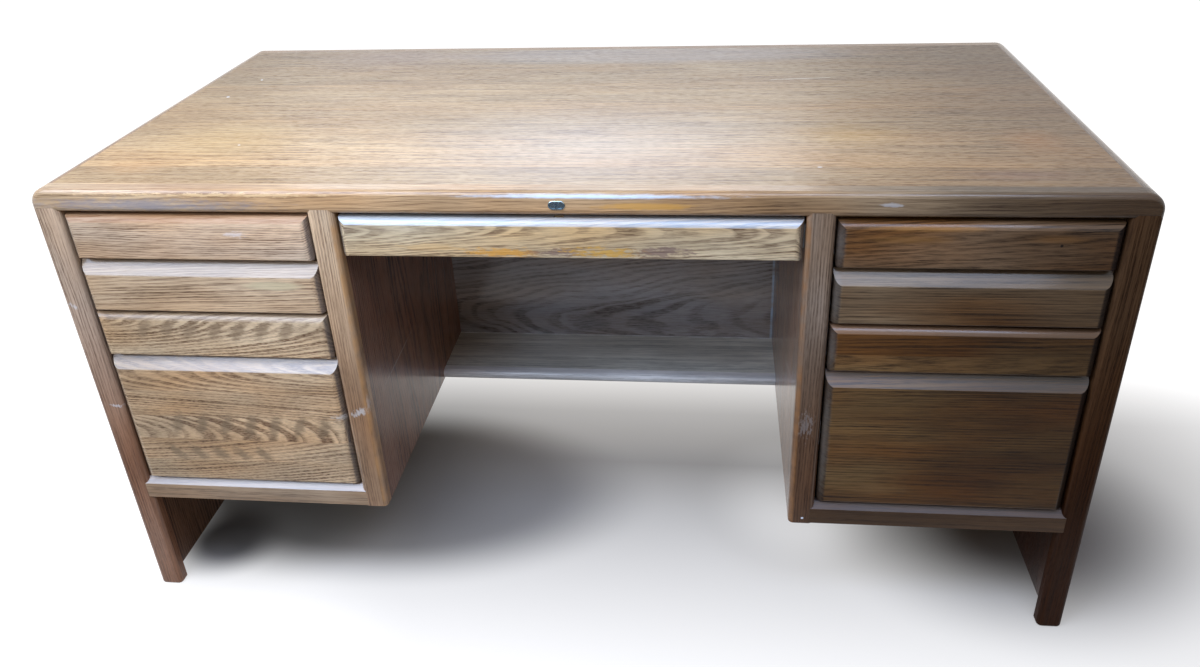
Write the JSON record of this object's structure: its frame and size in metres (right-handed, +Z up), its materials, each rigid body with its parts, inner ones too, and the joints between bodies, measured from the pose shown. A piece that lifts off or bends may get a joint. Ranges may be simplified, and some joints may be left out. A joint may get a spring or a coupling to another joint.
{
  "type": "office desk",
  "caption": "Double-pedestal oak office desk with inset bevelled drawers over file drawers, a wide centre drawer with a lock, a modesty panel and a shelf at its foot.",
  "frame": {"origin": "on the floor under the middle of the desk", "axes": "+X to the right of a person who sits at the desk, +Y away from that person to the back of the desk, +Z up"},
  "size_m": [1.524, 0.7465, 0.755],
  "materials": {
    "solid_oak": "satin lacquer",
    "oak_veneer": "satin lacquer",
    "drawer_wood": "clear lacquer",
    "inner_wood": "unfinished",
    "slide_steel": "zinc plated",
    "lock_metal": "gloss"
  },
  "bodies": {
    "cabinet": {"top_panel": "oak_veneer", "top_front_edge": "solid_oak", "top_back_edge": "solid_oak", "top_left_edge": "solid_oak", "top_right_edge": "solid_oak", "left_end_panel": "oak_veneer", "right_end_panel": "oak_veneer", "left_front_stile": "solid_oak", "right_front_stile": "solid_oak", "left_rear_stile": "solid_oak", "right_rear_stile": "solid_oak", "left_inner_stile": "solid_oak", "right_inner_stile": "solid_oak", "left_kneehole_panel": "oak_veneer", "right_kneehole_panel": "oak_veneer", "left_bottom_rail": "solid_oak", "right_bottom_rail": "solid_oak", "left_pedestal_bottom": "inner_wood", "right_pedestal_bottom": "inner_wood", "left_pedestal_back": "oak_veneer", "right_pedestal_back": "oak_veneer", "modesty_panel": "oak_veneer", "kneehole_shelf": "oak_veneer", "kneehole_shelf_edge": "solid_oak", "top_cleats": "inner_wood", "slide_cleats": "inner_wood", "cabinet_slide_members": "slide_steel", "lock_case": "lock_metal"},
    "left_drawer_1": {"left_drawer_1_front": "solid_oak", "left_drawer_1_box": "drawer_wood", "left_drawer_1_slides": "slide_steel"},
    "left_drawer_2": {"left_drawer_2_front": "solid_oak", "left_drawer_2_box": "drawer_wood", "left_drawer_2_slides": "slide_steel"},
    "left_drawer_3": {"left_drawer_3_front": "solid_oak", "left_drawer_3_box": "drawer_wood", "left_drawer_3_slides": "slide_steel"},
    "left_file_drawer": {"left_file_drawer_front": "solid_oak", "left_file_drawer_box": "drawer_wood", "left_file_drawer_slides": "slide_steel"},
    "left_file_middles": {"left_file_slide_middles": "slide_steel"},
    "right_drawer_1": {"right_drawer_1_front": "solid_oak", "right_drawer_1_box": "drawer_wood", "right_drawer_1_slides": "slide_steel"},
    "right_drawer_2": {"right_drawer_2_front": "solid_oak", "right_drawer_2_box": "drawer_wood", "right_drawer_2_slides": "slide_steel"},
    "right_drawer_3": {"right_drawer_3_front": "solid_oak", "right_drawer_3_box": "drawer_wood", "right_drawer_3_slides": "slide_steel"},
    "right_file_drawer": {"right_file_drawer_front": "solid_oak", "right_file_drawer_box": "drawer_wood", "right_file_drawer_slides": "slide_steel"},
    "right_file_middles": {"right_file_slide_middles": "slide_steel"},
    "centre_drawer": {"centre_drawer_front": "solid_oak", "centre_drawer_box": "drawer_wood", "centre_drawer_slides": "slide_steel"},
    "lock_plug": {"lock_plug": "lock_metal"},
    "lock_bolt": {"lock_bolt": "slide_steel"}
  },
  "joints": [
    {"name": "left_drawer_1_slide", "type": "slide", "parent": "cabinet", "child": "left_drawer_1", "axis": [0, -1, 0], "range_m": [0, 0.4]},
    {"name": "left_drawer_2_slide", "type": "slide", "parent": "cabinet", "child": "left_drawer_2", "axis": [0, -1, 0], "range_m": [0, 0.4]},
    {"name": "left_drawer_3_slide", "type": "slide", "parent": "cabinet", "child": "left_drawer_3", "axis": [0, -1, 0], "range_m": [0, 0.4]},
    {"name": "left_file_drawer_slide", "type": "slide", "parent": "cabinet", "child": "left_file_drawer", "axis": [0, -1, 0], "range_m": [0, 0.5]},
    {"name": "left_file_middles_slide", "type": "slide", "parent": "cabinet", "child": "left_file_middles", "axis": [0, -1, 0], "range_m": [0, 0.25]},
    {"name": "right_drawer_1_slide", "type": "slide", "parent": "cabinet", "child": "right_drawer_1", "axis": [0, -1, 0], "range_m": [0, 0.4]},
    {"name": "right_drawer_2_slide", "type": "slide", "parent": "cabinet", "child": "right_drawer_2", "axis": [0, -1, 0], "range_m": [0, 0.4]},
    {"name": "right_drawer_3_slide", "type": "slide", "parent": "cabinet", "child": "right_drawer_3", "axis": [0, -1, 0], "range_m": [0, 0.4]},
    {"name": "right_file_drawer_slide", "type": "slide", "parent": "cabinet", "child": "right_file_drawer", "axis": [0, -1, 0], "range_m": [0, 0.5]},
    {"name": "right_file_middles_slide", "type": "slide", "parent": "cabinet", "child": "right_file_middles", "axis": [0, -1, 0], "range_m": [0, 0.25]},
    {"name": "centre_drawer_slide", "type": "slide", "parent": "cabinet", "child": "centre_drawer", "axis": [0, -1, 0], "range_m": [0, 0.32]},
    {"name": "lock_turn", "type": "hinge", "parent": "cabinet", "child": "lock_plug", "pos_m": [-0.009, -0.3725, 0.736], "axis": [0, 1, 0], "range_deg": [0, 90]},
    {"name": "lock_bolt_slide", "type": "slide", "parent": "cabinet", "child": "lock_bolt", "axis": [0, 0, -1], "range_m": [0, 0.012]}
  ],
  "couplings": [
    {"joint": "left_file_middles_slide", "follows": "left_file_drawer_slide", "ratio": 0.5},
    {"joint": "right_file_middles_slide", "follows": "right_file_drawer_slide", "ratio": 0.5},
    {"joint": "lock_turn", "follows": "lock_bolt_slide", "rad_per_m": 130.8}
  ]
}
